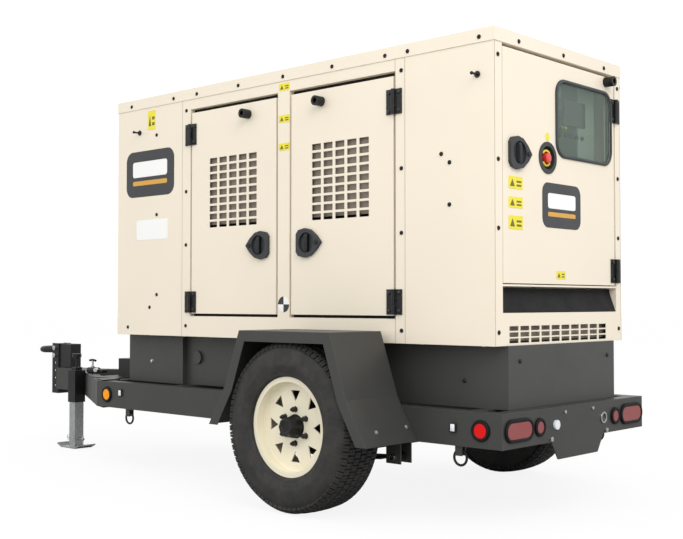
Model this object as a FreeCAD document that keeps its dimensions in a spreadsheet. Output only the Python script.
"""Towable diesel generator: a sound-proofed set on a single-axle trailer.

Units are millimetres.  +X points to the rear (control) end, +Z up, and -Y is the
left-hand side.  The origin lies on the ground, on the centre line, half-way along
the whole trailer.  All driving sizes are in the Sizes sheet; every formula below
is bound to that sheet.
"""
import FreeCAD
import Part
import Sketcher
import math
import os
import re

Vector = FreeCAD.Vector
Rotation = FreeCAD.Rotation

SIZES = {
    # enclosure
    "body_rear": 1918,  # origin to the enclosure's rear face
    "body_length": 2430,
    "body_width": 986,
    "floor_height": 694,
    "body_height": 1236,
    "skin": 3,
    "roof_flange": 54,
    "exhaust_hole": 45,
    "louvre_width": 230,
    "louvre_height": 22,
    "louvre_pitch": 44,
    "louvre_columns": 3,
    "louvre_rows": 18,
    # doors
    "door_width": 604,
    "door_height": 998,
    "door_bottom": 808,
    "door_depth": 28,
    "control_door_width": 872,
    "control_door_height": 924,
    "control_door_bottom": 938,
    "control_hinge": 441,
    "front_hinge": 1820,  # rear face to the front doors' hinge line
    "rear_hinge": 500,
    "hinge_gap": 12,
    "hinge_proud": 10,  # hinge axis outside the door face
    "latch_gap": 12,
    "control_latch_gap": 3,
    "top_gap": 20,
    "control_top_gap": 13,
    "bottom_gap": 13,
    "control_bottom_gap": 4,
    "seal": 8,
    "seal_gap": 0.3,
    "rebate": 30,
    "post_strip": 50,
    "grille_columns": 5,
    "grille_rows": 10,
    "grille_inset": 136,
    "grille_bottom": 420,
    "grille_hole_width": 55,
    "grille_hole_height": 28,
    "grille_pitch_across": 70.5,
    "grille_pitch_up": 38.9,
    # hinges
    "hinge_height": 105,
    "hinge_reach": 41,
    "hinge_leaf": 5,
    "knuckle_radius": 9,
    "knuckle_height": 34,
    "knuckle_gap": 0.5,
    "pin_radius": 4,
    "pin_gap": 0.06,
    "cap_radius": 8,
    "cap_height": 3,
    "cap_inset": 26,
    "cap_spread": 38,
    "side_hinge_low": 57,
    "side_hinge_high": 890,
    "control_hinge_low": 64,
    "control_hinge_high": 779,
    # holdbacks
    "holdback": 421,
    "holdback_height": 944,
    "control_holdback": 77,
    "control_holdback_height": 900,
    "socket_radius": 22,
    "socket_bore": 12,
    "socket_length": 45,
    "stud_reach": 39,
    "stud_radius": 4.5,
    "ball_radius": 7,
    # latches
    "latch_setback": 504,
    "latch_height": 321,
    "control_latch_setback": 777,
    "control_latch_height": 515,
    "plate_thickness": 14,
    "recess_radius": 46,
    "recess_depth": 11,
    "grip_length": 80,
    "grip_width": 20,
    "grip_proud": 2,
    "shaft_radius": 8,
    "shaft_gap": 0.06,
    "cam_length": 100,
    "cam_width": 24,
    "cam_thickness": 5,
    "cam_gap": 2,
    # window and emergency stop in the control door
    "window_left": 40,
    "window_width": 443,
    "window_bottom": 538,
    "window_height": 309,
    "window_radius": 55,
    "glass": 5,
    "gasket_width": 11,
    "gasket_proud": 5,
    "stop_setback": 556,
    "stop_height": 517,
    "stop_ring": 66,
    "stop_recess": 52,
    "stop_depth": 20,
    "button_radius": 20,
    "button_height": 22,
    "button_stem": 9,
    "button_travel": 5,
    # rear wall
    "flap_bottom": 822,
    "flap_top": 926,
    "flap_depth": 60,
    "flap_lean": 28,
    "flap_thickness": 4,
    "flap_gap": 2,
    "flap_rod": 5,
    "end_play": 0.3,
    "intake_left": 355,
    "intake_bottom": 704,
    "intake_columns": 10,
    "intake_rows": 4,
    "intake_hole_width": 64,
    "intake_hole_height": 18,
    "intake_pitch_across": 76.3,
    "intake_pitch_up": 24,
    # fixings on the sheet metal
    "screw_radius": 9,
    "screw_height": 4,
    # control cabinet
    "cabinet_front": 70,
    "cabinet_depth": 230,
    "cabinet_width": 780,
    "cabinet_height": 1130,
    "knob_radius": 22,
    "toggle_width": 26,
    # engine bay
    "shaft_height": 990,
    "engine_rear": 1290,
    "engine_length": 640,
    "engine_width": 400,
    "exhaust_ahead": 270,
    "alternator_radius": 205,
    "alternator_length": 430,
    "radiator_setback": 2290,
    "radiator_thickness": 70,
    "radiator_width": 700,
    "radiator_height": 820,
    "fan_radius": 270,
    "fan_blades": 7,
    # base
    "tank_half_width": 412,
    "tank_recess": 30,
    "tank_proud": 6,
    "tank_floor": 445,
    # chassis
    "rail_half_width": 549,
    "rail_width": 60,
    "rail_bottom": 309,
    "rail_wall": 5,
    "rail_ahead": 103,
    "bumper_front": 8,
    "bumper_depth": 60,
    "plate_bottom": 236,
    "plate_half_width": 155,
    "plate_shoulder": 205,
    "nose_half_width": 60,
    "leg_run": 881,
    "leg_width": 68,
    "nose_ahead": 1262,
    # coupler
    "channel_ahead": 1333,
    "channel_bottom": 280,
    "channel_top": 600,
    "channel_inner": 38,
    "channel_wall": 8,
    "channel_holes": 6,
    "channel_hole": 9,
    "channel_pitch": 48,
    "post_ahead": 1136,
    "eye_ahead": 1481,
    "eye_radius": 38,
    "eye_section": 41,
    "eye_height": 558,
    # jack
    "jack_ahead": 760,
    "jack_gap": 0.7,
    "jack_tube": 72,
    "jack_wall": 6,
    "jack_bottom": 269,
    "jack_top": 458,
    "leg_gap": 0.4,
    "leg_engagement": 45,
    "leg_wall": 5,
    "foot_length": 219,
    "foot_width": 120,
    "foot_plate": 8,
    "foot_socket": 66,
    "pin_height": 52,
    "jack_pin": 8,
    "jack_pin_length": 150,
    # axle and wheels
    "axle_setback": 792,
    "tyre_radius": 354,
    "tyre_width": 225,
    "track_half": 742.5,
    "bead_radius": 190.5,
    "flange_radius": 208,
    "rim_half_width": 82,
    "rim_wall": 6,
    "disc_offset": 38,
    "hand_hole_radius": 127,
    "hand_holes": 8,
    "hub_radius": 49,
    "hub_proud": 62,
    "lug_circle": 69.85,
    "lugs": 6,
    "lug_radius": 9,
    "spindle_radius": 24,
    "axle_box": 60,
    "axle_drop": 104,
    "spring_track": 519,
    "spring_half": 335,
    "spring_rise": 20,
    "leaf": 8,
    "leaf_width": 58,
    "leaves": 4,
    "spring_bolt": 7.9,
    "bolt_gap": 0.1,
    "hanger_half": 38,
    "hanger_wall": 6,
    "hanger_gap": 1,
    # fenders
    "fender_outer": 855,
    "fender_top": 745,
    "fender_sheet": 4,
    "fender_lip": 46,
    # lamps
    "lamp_height": 376,
    "lamp_radius": 36,
    "side_lamp_radius": 34,
    "grommet": 8,
    "lamp_proud": 7,
    "grommet_proud": 4,
    # tie-down rings
    "ring_front": 2274,
    "ring_rear": 142,
    "ring_radius": 30,
    "ring_section": 5,
    "ring_rod": 5,
    "ring_drop": 27,
}

# Frequent places, as formulas on the sheet
REAR = "body_rear"
FRONT = "(body_rear - body_length)"
HALF = "(body_width / 2)"
TOP = "(floor_height + body_height)"
WALL_TOP = f"({TOP} - skin)"
FACE = "hinge_proud"  # a door's outer face, in that door's own frame
INNER = "(hinge_proud + door_depth)"
RING_FACE = "(hinge_proud + door_depth + seal)"
RING_BACK = "(hinge_proud + door_depth + seal + skin)"
RAIL_TOP = "tank_floor"
AXLE = "(body_rear - axle_setback)"
RAIL_FRONT = f"({FRONT} - rail_ahead)"
NOSE = f"({FRONT} - nose_ahead)"
JACK = f"({FRONT} - jack_ahead)"
COUPLER = f"({FRONT} - channel_ahead)"
EXHAUST = "(body_rear - engine_rear - engine_length - exhaust_ahead)"

TURNS = {
    "+Z": Rotation(),
    "+X": Rotation(Vector(0, 0, 1), Vector(1, 0, 0)),
    "+Y": Rotation(Vector(0, 0, 1), Vector(0, 1, 0)),
    "-Y": Rotation(Vector(0, 0, 1), Vector(0, -1, 0)),
}

doc = FreeCAD.newDocument("TowableGenerator")
sheet = doc.addObject("Spreadsheet::Sheet", "Sizes")
for row, (alias, value) in enumerate(SIZES.items(), start=1):
    sheet.set(f"A{row}", alias)
    sheet.set(f"B{row}", str(value))
    sheet.setAlias(f"B{row}", alias)
doc.recompute()

nodes = {}


# ---------------------------------------------------------------- helpers

def formula(text):
    """Point every size name in a formula at the sheet."""
    return re.sub(r"[a-z_]{3,}", lambda m: "Sizes." + m[0] if m[0] in SIZES else m[0], str(text))


def bind(item, **properties):
    """Bind properties of an object to formulas."""
    for name, text in properties.items():
        item.setExpression(name, formula(text))


def place(item, x=0, y=0, z=0, turn=None):
    """Put an object at a place given by formulas, turned by a rotation."""
    if turn is not None:
        item.Placement = FreeCAD.Placement(Vector(), turn)
    for axis, text in zip("xyz", (x, y, z)):
        item.setExpression(f"Placement.Base.{axis}", formula(text))
    return item


def node(name, item):
    """Name a finished sub-part, which also names its file."""
    item.Label = name
    nodes[name] = item
    return item


def box(name, x, y, z):
    """A block between (low, high) formulas along each axis."""
    item = doc.addObject("Part::Box", name)
    bind(item, Length=f"({x[1]}) - ({x[0]})", Width=f"({y[1]}) - ({y[0]})", Height=f"({z[1]}) - ({z[0]})")
    return place(item, x[0], y[0], z[0])


def rod(name, axis, start, radius, length):
    """A round bar that starts at a point and runs along an axis."""
    item = doc.addObject("Part::Cylinder", name)
    bind(item, Radius=radius, Height=length)
    return place(item, *start, turn=TURNS[axis])


def ball(name, centre, radius):
    """A sphere."""
    item = doc.addObject("Part::Sphere", name)
    bind(item, Radius=radius)
    return place(item, *centre)


def hoop(name, centre, axis, radius, section):
    """A round ring of round section."""
    item = doc.addObject("Part::Torus", name)
    bind(item, Radius1=radius, Radius2=section)
    return place(item, *centre, turn=TURNS[axis])


def fuse(name, *pieces):
    """One solid out of pieces that overlap or touch."""
    item = doc.addObject("Part::MultiFuse", name)
    item.Shapes = list(pieces)
    item.Refine = True
    return item


def cut(name, base, *tools):
    """A base with every tool taken out of it."""
    item = doc.addObject("Part::Cut", name)
    item.Base = base
    item.Tool = tools[0] if len(tools) == 1 else fuse(f"{name}_tools", *tools)
    item.Refine = True
    return item


def group(name, pieces):
    """Separate solids kept together in one sub-part."""
    item = doc.addObject("Part::Compound", name)
    item.Links = list(pieces)
    return item


def between(sign, near, far):
    """The (low, high) pair of a stretch that lies on the + or - side."""
    return (near, far) if sign > 0 else (f"-({far})", f"-({near})")


def signed(sign, text):
    """A formula, or its negative on the - side."""
    return f"({text})" if sign > 0 else f"-({text})"


def origin_plane(body, role):
    """One of a body's own three origin planes."""
    return next(item for item in body.Origin.OriginFeatures if item.Role == role)


def outline(body, name, role, corners, offset="0"):
    """A closed sketch whose corners are bound to formulas."""
    sketch = body.newObject("Sketcher::SketchObject", name)
    sketch.AttachmentSupport = [(origin_plane(body, role), "")]
    sketch.MapMode = "FlatFace"
    sketch.setExpression("AttachmentOffset.Base.z", formula(offset))
    count = len(corners)
    turn = 2 * math.pi / count
    start = [Vector(100 * math.cos(turn * i), 100 * math.sin(turn * i), 0) for i in range(count)]
    sketch.addGeometry([Part.LineSegment(start[i], start[(i + 1) % count]) for i in range(count)], False)
    for i in range(count):
        sketch.addConstraint(Sketcher.Constraint("Coincident", i, 2, (i + 1) % count, 1))
    for i, corner in enumerate(corners):
        for kind, text in zip(("DistanceX", "DistanceY"), corner):
            index = sketch.addConstraint(Sketcher.Constraint(kind, -1, 1, i, 1, 1.0))
            sketch.setExpression(f"Constraints[{index}]", formula(text))
    return sketch


def rectangle(x, y):
    """The corners of a rectangle between (low, high) formulas."""
    return [(x[0], y[0]), (x[1], y[0]), (x[1], y[1]), (x[0], y[1])]


def plate(name, role, corners, low, high):
    """A padded outline between two levels of the plane's own axis."""
    body = doc.addObject("PartDesign::Body", name)
    start = f"-({high})" if role == "XZ_Plane" else low
    pad = body.newObject("PartDesign::Pad", f"{name}_pad")
    pad.Profile = outline(body, f"{name}_outline", role, corners, start)
    bind(pad, Length=f"({high}) - ({low})")
    body.Tip = pad
    return body


def turned(name, role, axis, corners, centre=("0", "0", "0")):
    """A ring or disc turned about one of its sketch's axes."""
    body = doc.addObject("PartDesign::Body", name)
    feature = body.newObject("PartDesign::Revolution", f"{name}_turn")
    profile = outline(body, f"{name}_profile", role, corners)
    feature.Profile = profile
    feature.ReferenceAxis = (profile, [axis])
    feature.Angle = 360
    body.Tip = feature
    return place(body, *centre)


def pocket(body, name, role, corners, start, depth):
    """A pocket cut from a level of the plane, on the side its pads grow to."""
    feature = body.newObject("PartDesign::Pocket", name)
    feature.Profile = outline(body, f"{name}_outline", role, corners, start)
    feature.Reversed = True
    bind(feature, Length=depth)
    body.Tip = feature
    return feature


def perforate(body, hole, columns, across, rows, up):
    """Repeat a hole in columns and rows."""
    grid = body.newObject("PartDesign::LinearPattern", f"{hole.Name}_grid")
    grid.Originals = [hole]
    sketch = hole.Profile[0]
    grid.Direction = (sketch, ["H_Axis"])
    grid.Mode = "Spacing"
    grid.Direction2 = (sketch, ["V_Axis"])
    grid.Mode2 = "Spacing"
    bind(grid, Offset=across, Occurrences=columns, Offset2=up, Occurrences2=rows)
    body.Tip = grid
    return grid


def rounded_box(name, x, y, z, radius):
    """A block with its four edges along Y rounded."""
    inner_x = (f"({x[0]}) + {radius}", f"({x[1]}) - {radius}")
    inner_z = (f"({z[0]}) + {radius}", f"({z[1]}) - {radius}")
    pieces = [box(f"{name}_wide", x, y, inner_z), box(f"{name}_tall", inner_x, y, z)]
    for i, (corner_x, corner_z) in enumerate([(a, b) for a in inner_x for b in inner_z]):
        start = (corner_x, y[0], corner_z)
        pieces.append(rod(f"{name}_corner{i}", "+Y", start, radius, f"({y[1]}) - ({y[0]})"))
    return fuse(name, *pieces)


# ---------------------------------------------------------------- doors

class Door:
    """A hinged door in its own frame: origin on the hinge axis at the door's lower edge,
    outward -Y, and the door running to +X or -X as its direction says."""

    def __init__(self, name, direction, origin, turn, control=False):
        self.name = name
        self.direction = direction
        self.origin = origin
        self.turn = Rotation(Vector(0, 0, 1), turn)
        kind = "control_" if control else ""
        self.control = control
        self.width = f"{kind}door_width"
        self.height = f"{kind}door_height"
        self.hinges = [f"{kind or 'side_'}hinge_low", f"{kind or 'side_'}hinge_high"]
        self.latch = (signed(direction, f"{kind}latch_setback"), f"{kind}latch_height")
        self.opening = [
            between(direction, "-hinge_gap / 2", f"hinge_gap / 2 + {self.width} + {kind}latch_gap"),
            (f"-{kind}bottom_gap", f"{self.height} + {kind}top_gap"),
        ]
        self.holdback = f"{kind}holdback"
        self.holdback_height = f"{kind}holdback_height"

    def put(self, item):
        """Move a piece from the door's frame to its place on the enclosure."""
        return place(group(f"{item.Name}_placed", [item]), *self.origin, turn=self.turn)

    def across(self, near, far):
        """A (low, high) stretch measured from the hinge axis along the door."""
        return between(self.direction, near, far)

    def opening_tool(self, inset, front, back):
        """A block that fills the door opening, set in from its edges."""
        x, z = self.opening
        name = f"{self.name}_opening"
        span_x = (f"({x[0]}) + {inset}", f"({x[1]}) - {inset}")
        span_z = (f"({z[0]}) + {inset}", f"({z[1]}) - {inset}")
        return self.put(box(name, span_x, (front, back), span_z))

    def pan(self):
        """The door itself: a folded sheet pan, with its grille or its window."""
        body = doc.addObject("PartDesign::Body", f"{self.name}_pan")
        low, high = self.across("hinge_gap / 2", f"hinge_gap / 2 + {self.width}")
        start = f"-{INNER}"
        pad = body.newObject("PartDesign::Pad", f"{self.name}_pad")
        corners = rectangle((low, high), ("0", self.height))
        pad.Profile = outline(body, f"{self.name}_outline", "XZ_Plane", corners, start)
        bind(pad, Length="door_depth")
        hollow_x = (f"({low}) + skin", f"({high}) - skin")
        hollow_z = ("skin", f"{self.height} - skin")
        pocket(body, f"{self.name}_hollow", "XZ_Plane", rectangle(hollow_x, hollow_z), start,
               "door_depth - skin")
        if not self.control:
            spread = "((grille_columns - 1) * grille_pitch_across + grille_hole_width)"
            left = self.across("hinge_gap / 2 + grille_inset", f"hinge_gap / 2 + grille_inset + {spread}")[0]
            hole_x = (left, f"({left}) + grille_hole_width")
            hole_z = ("grille_bottom", "grille_bottom + grille_hole_height")
            hole = pocket(body, f"{self.name}_hole", "XZ_Plane", rectangle(hole_x, hole_z), start,
                          "door_depth + skin")
            perforate(body, hole, "grille_columns", "grille_pitch_across", "grille_rows", "grille_pitch_up")
        holes = [rod(f"{self.name}_shaft_hole", "+Y", (self.latch[0], "0", self.latch[1]),
                     "shaft_radius + shaft_gap", f"{INNER} + 1")]
        if self.control:
            holes.append(self.window_tool("window_hole", "0", "0", INNER))
            holes.append(rod("stop_hole", "+Y", (signed(self.direction, "stop_setback"), "0", "stop_height"),
                             "stop_recess", INNER))
        node(self.name, self.put(cut(f"{self.name}_door", body, *holes)))

    def window_tool(self, name, grow, front, back):
        """A block the size of the window, grown by a margin."""
        x = self.across(f"window_left - {grow}", f"window_left + window_width + {grow}")
        z = (f"window_bottom - {grow}", f"window_bottom + window_height + {grow}")
        return rounded_box(name, x, (front, back), z, f"(window_radius + {grow})")

    def leaf(self, name, side, height, on_door):
        """One hinge leaf: plate, screw caps and its share of the knuckles."""
        plate_x = between(side, "hinge_proud", "hinge_reach")
        web_x = between(side, "0", "hinge_proud + 1")
        thick = ("hinge_proud - hinge_leaf", "hinge_proud")
        half = "hinge_height / 2"
        pieces = [box(f"{name}_plate", plate_x, thick, (f"{height} - {half}", f"{height} + {half}"))]
        if on_door:
            spans = [("-knuckle_height / 2", "knuckle_height / 2")]
            bore = "pin_radius + pin_gap"
        else:
            inner = "knuckle_height / 2 + knuckle_gap"
            spans = [(f"-{half}", f"-({inner})"), (inner, half)]
            bore = "pin_radius"
        for i, (low, high) in enumerate(spans):
            z = (f"{height} + ({low})", f"{height} + ({high})")
            pieces.append(box(f"{name}_web{i}", web_x, thick, z))
            pieces.append(rod(f"{name}_knuckle{i}", "+Z", ("0", "0", z[0]), "knuckle_radius",
                              f"({high}) - ({low})"))
        for i, rise in enumerate(("-cap_spread", "cap_spread")):
            start = (signed(side, "cap_inset"), "hinge_proud - hinge_leaf - cap_height", f"{height} + ({rise})")
            pieces.append(rod(f"{name}_cap{i}", "+Y", start, "cap_radius", "cap_height"))
        hole = rod(f"{name}_bore", "+Z", ("0", "0", f"{height} - {half} - 1"), bore, "hinge_height + 2")
        return cut(name, fuse(f"{name}_solid", *pieces), hole)

    def fittings(self):
        """What is screwed to the door: hinge leaves, holdback socket and latch plate."""
        pieces = [self.leaf(f"{self.name}_leaf{i}", self.direction, height, True)
                  for i, height in enumerate(self.hinges)]
        socket_x = signed(self.direction, self.holdback)
        mouth = (socket_x, "hinge_proud - socket_length", self.holdback_height)
        socket = rod(f"{self.name}_socket_body", "+Y", mouth, "socket_radius", "socket_length")
        bore = rod(f"{self.name}_socket_bore", "+Y", mouth, "socket_bore", "socket_length - 10")
        pieces.append(cut(f"{self.name}_socket", socket, bore))
        pieces.append(self.latch_plate())
        if self.control:
            pieces.append(self.gasket())
            pieces.append(self.stop_guard())
        node(f"{self.name}_fittings", self.put(group(f"{self.name}_fitted", pieces)))

    def latch_plate(self):
        """The latch escutcheon: one flat side, one pointed side towards the hinge."""
        half_shape = [(-64, 40), (-50, 58), (-10, 66), (25, 58), (60, 32), (88, 0)]
        shape = half_shape + [(u, -v) for u, v in reversed(half_shape[:-1])]
        corners = [(f"{self.latch[0]} - ({self.direction * u})", f"{self.latch[1]} + ({v})") for u, v in shape]
        body = plate(f"{self.name}_latch_plate", "XZ_Plane", corners, f"{FACE} - plate_thickness", FACE)
        start = (self.latch[0], f"{FACE} - plate_thickness - 1", self.latch[1])
        recess = rod(f"{self.name}_recess", "+Y", start, "recess_radius", "recess_depth + 1")
        hole = rod(f"{self.name}_plate_hole", "+Y", start, "shaft_radius + shaft_gap", "plate_thickness + 2")
        return cut(f"{self.name}_escutcheon", body, recess, hole)

    def latch_handle(self):
        """The turning part of the latch: grip, shaft and cam in one."""
        x, z = self.latch
        front = f"({FACE} - plate_thickness - grip_proud)"
        floor = f"({FACE} - plate_thickness + recess_depth - 0.5)"
        cam = f"({RING_BACK} + cam_gap)"
        name = f"{self.name}_handle"
        grip = rounded_box(f"{name}_grip", (f"{x} - grip_width / 2", f"{x} + grip_width / 2"), (front, floor),
                           (f"{z} - grip_length / 2", f"{z} + grip_length / 2"), "(grip_width / 2 - 1)")
        shaft = rod(f"{name}_shaft", "+Y", (x, front, z), "shaft_radius", f"{cam} + cam_thickness - {front}")
        arm = box(f"{name}_cam", (f"{x} - cam_width / 2", f"{x} + cam_width / 2"),
                  (cam, f"{cam} + cam_thickness"), (f"{z} - cam_width / 2", f"{z} + cam_length"))
        node(f"{self.name}_latch", self.put(fuse(name, grip, shaft, arm)))

    def gasket(self):
        """The rubber frame that holds the window."""
        front, back = f"{FACE} - gasket_proud", f"{FACE} + skin + gasket_proud"
        outer = self.window_tool("gasket_outer", "gasket_width", front, FACE)
        inner = self.window_tool("gasket_inner", "0", front, back)
        rear = self.window_tool("gasket_rear", "gasket_width", f"{FACE} + skin", back)
        return group("gasket", [cut("gasket_ring", outer, inner),
                                cut("gasket_back", rear, self.window_tool("gasket_void", "0", FACE, back))])

    def stop_guard(self):
        """The collar round the emergency stop, with its floor and the button's bush."""
        x, z = signed(self.direction, "stop_setback"), "stop_height"
        floor = f"({FACE} + stop_depth)"
        flange = rod("stop_flange", "+Y", (x, f"{FACE} - 4", z), "stop_ring", "4")
        cup = rod("stop_cup", "+Y", (x, FACE, z), "stop_recess", "stop_depth + 4")
        hollow = rod("stop_hollow", "+Y", (x, f"{FACE} - 5", z), "stop_recess - 4", "stop_depth + 5")
        hole = rod("stop_stem_hole", "+Y", (x, floor, z), "button_stem + 0.05", "5")
        return cut("stop_guard", fuse("stop_body", flange, cup), hollow, hole)

    def window(self):
        """The control door's glass."""
        glass = self.window_tool("window_pane", "(-seal_gap)", f"{FACE} + seal_gap", f"{FACE} + glass")
        node("control_window", self.put(glass))

    def stop_button(self):
        """The mushroom button, which is pushed in."""
        x, z = signed(self.direction, "stop_setback"), "stop_height"
        floor = f"({FACE} + stop_depth)"
        head = f"({floor} - button_travel - button_height)"
        stem_end = f"({floor} + 14)"
        cap = rod("button_cap", "+Y", (x, head, z), "button_radius", "button_height - 1")
        stem = rod("button_stem_rod", "+Y", (x, head, z), "button_stem", f"{stem_end} - {head}")
        node("emergency_stop_button", self.put(fuse("button", cap, stem)))

    def frame_leaves(self):
        """The hinge leaves and pins that stay on the enclosure."""
        pieces = []
        for i, height in enumerate(self.hinges):
            leaf = self.leaf(f"{self.name}_frame_leaf{i}", -self.direction, height, False)
            pin = rod(f"{self.name}_pin{i}", "+Z", ("0", "0", f"{height} - hinge_height / 2"),
                      "pin_radius", "hinge_height")
            pieces += [self.put(leaf), self.put(pin)]
        return pieces

    def stud(self):
        """The ball stud that the open door's socket snaps over."""
        x, z = signed(-self.direction, f"({self.holdback} + 1)"), self.holdback_height
        pieces = [
            rod(f"{self.name}_stud_foot", "+Y", (x, f"{FACE} - 4", z), "3 * stud_radius", "4"),
            rod(f"{self.name}_stud_stem", "+Y", (x, f"{FACE} - stud_reach", z), "stud_radius", "stud_reach"),
            ball(f"{self.name}_stud_ball", (x, f"{FACE} - stud_reach", z), "ball_radius"),
        ]
        return self.put(fuse(f"{self.name}_stud", *pieces))

    def seal(self):
        """The rubber frame that the closed door presses on."""
        outer = self.opening_tool("0.5", f"{INNER} + seal_gap", RING_FACE)
        inner = self.opening_tool("(rebate - 8)", f"{INNER} - 1", f"{RING_FACE} + 1")
        return cut(f"{self.name}_seal", outer, inner)

    def jamb(self):
        """The folded edge round the opening, before its inside is cut away."""
        return self.opening_tool("(-skin)", f"{FACE} + skin", RING_BACK)

    def jamb_tools(self):
        """What is cut away inside the folded edge: the door's space and the way through."""
        return [self.opening_tool("0", f"{FACE} - 1", RING_FACE),
                self.opening_tool("rebate", f"{FACE} - 1", f"{RING_BACK} + 1")]


def side_door(name, end, side):
    """A side door: end says which hinge line, side is -1 for the left and +1 for the right."""
    direction = -side if end == "front" else side
    origin = (f"body_rear - {end}_hinge", signed(side, f"{HALF} + hinge_proud"), "door_bottom")
    return Door(name, direction, origin, 180 if side > 0 else 0)


side_doors = {
    (end, side): side_door(f"{label}_{end}_door", end, side)
    for side, label in ((-1, "left"), (1, "right"))
    for end in ("front", "rear")
}
control_door = Door("control_door", -1, ("body_rear + hinge_proud", "control_hinge", "control_door_bottom"),
                    90, control=True)
doors = list(side_doors.values()) + [control_door]

for door in doors:
    door.pan()
    door.fittings()
    door.latch_handle()
control_door.window()
control_door.stop_button()


# ---------------------------------------------------------------- enclosure

def make_roof():
    """The roof cap: a tray turned down over the walls, with the exhaust outlet."""
    across = (f"-({HALF} + skin)", f"{HALF} + skin")
    along = (f"{FRONT} - skin", f"{REAR} + skin")
    body = plate("roof_cap", "XY_Plane", rectangle(along, across), f"{TOP} - roof_flange", TOP)
    inside = rectangle((FRONT, REAR), (f"-{HALF}", HALF))
    pocket(body, "roof_hollow", "XY_Plane", inside, f"{TOP} - roof_flange", "roof_flange - skin")
    outlet = rod("roof_outlet", "+Z", (EXHAUST, "150", f"{TOP} - 2 * skin"), "exhaust_hole", "3 * skin")
    node("roof", cut("roof_sheet", body, outlet))


def make_body_panels():
    """The front wall and the four plain side panels."""
    levels = ("floor_height", WALL_TOP)
    front_corners = rectangle((f"skin - {HALF}", f"{HALF} - skin"), levels)
    front = plate("front_wall", "YZ_Plane", front_corners, FRONT, f"{FRONT} + skin")
    step = "(louvre_width + 30)"
    left = f"-((louvre_columns - 1) * {step} + louvre_width) / 2"
    low = "(floor_height + 240)"
    slot = rectangle((left, f"{left} + louvre_width"), (low, f"{low} + louvre_height"))
    hole = pocket(front, "louvre", "YZ_Plane", slot, f"{FRONT} - 1", "skin + 2")
    perforate(front, hole, "louvre_columns", step, "louvre_rows", "louvre_pitch")
    pieces = [front]
    for side in (-1, 1):
        y = between(side, f"{HALF} - skin", HALF)
        front_edge = f"{REAR} - front_hinge - hinge_gap / 2"
        rear_edge = f"{REAR} - rear_hinge + hinge_gap / 2 + post_strip"
        pieces.append(box(f"front_panel{side}", (FRONT, front_edge), y, levels))
        pieces.append(box(f"rear_panel{side}", (rear_edge, REAR), y, levels))
    node("body_panels", group("panels", pieces))


def make_side_frames():
    """On each side, the sheet with two door openings and their folded jambs."""
    pieces = []
    for side in (-1, 1):
        pair = [side_doors[end, side] for end in ("front", "rear")]
        x = (f"{REAR} - front_hinge - hinge_gap / 2", f"{REAR} - rear_hinge + hinge_gap / 2 + post_strip")
        sheet_metal = box(f"frame_sheet{side}", x, between(side, f"{HALF} - skin", HALF),
                          ("floor_height", WALL_TOP))
        blank = fuse(f"frame_blank{side}", sheet_metal, *[door.jamb() for door in pair])
        tools = [tool for door in pair for tool in door.jamb_tools()]
        pieces.append(cut(f"side_frame{side}", blank, *tools))
    node("side_frames", group("frames", pieces))


def make_rear_wall():
    """The rear wall: control door opening, cable hood and air intake."""
    corners = rectangle((f"skin - {HALF}", f"{HALF} - skin"), ("floor_height", WALL_TOP))
    wall = plate("rear_sheet", "YZ_Plane", corners, f"{REAR} - skin", REAR)
    left = "-((intake_columns - 1) * intake_pitch_across + intake_hole_width - intake_left)"
    slot = rectangle((left, f"{left} + intake_hole_width"), ("intake_bottom", "intake_bottom + intake_hole_height"))
    hole = pocket(wall, "intake", "YZ_Plane", slot, f"{REAR} - skin - 1", "skin + 2")
    perforate(wall, hole, "intake_columns", "intake_pitch_across", "intake_rows", "intake_pitch_up")
    low, high = HOOD
    shell = box("hood_shell", (f"{REAR} - flap_depth - skin", f"{REAR} - skin"),
                (f"{low} - skin", f"{high} + skin"), ("flap_bottom - skin", "flap_top + skin"))
    inside = box("hood_inside", (f"{REAR} - flap_depth", f"{REAR} + 1"), HOOD, ("flap_bottom", "flap_top"))
    blank = fuse("rear_blank", wall, shell, control_door.jamb())
    tools = control_door.jamb_tools()
    node("rear_wall", cut("rear_panel", cut("rear_opened", blank, *tools), inside))


HOOD = ("-(control_door_width + hinge_gap / 2 + control_latch_gap - control_hinge)",
        "control_hinge + hinge_gap / 2")


def make_flap():
    """The black flap over the cable outlet, and the rod it hangs on."""
    low, high = (f"({HOOD[0]} + flap_gap)", f"({HOOD[1]} - flap_gap)")
    top = "(flap_top - 2 * flap_rod)"
    pivot = f"({REAR} - flap_lean - flap_thickness - flap_rod)"
    foot = f"({REAR} - flap_thickness)"
    bottom = "(flap_bottom + flap_gap)"
    corners = [(f"{pivot} - flap_thickness / 2", top), (f"{pivot} + flap_thickness / 2", top),
               (f"{foot} + flap_thickness / 2", bottom), (f"{foot} - flap_thickness / 2", bottom)]
    sheet_metal = plate("flap_sheet", "XZ_Plane", corners, low, high)
    ends = (f"{HOOD[0]} + end_play", f"{HOOD[1]} - end_play")
    barrel = rod("flap_barrel", "+Y", (pivot, ends[0], top), "flap_rod", f"{ends[1]} - ({ends[0]})")
    node("cable_flap", fuse("flap", sheet_metal, barrel))


def make_floor():
    """The deck that carries the set and closes the enclosure underneath."""
    inner = (f"skin - {HALF}", f"{HALF} - skin")
    deck = box("deck", (f"{FRONT} + skin", f"{REAR} - skin"), inner, ("floor_height", "floor_height + 5"))
    node("floor_deck", deck)


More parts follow.
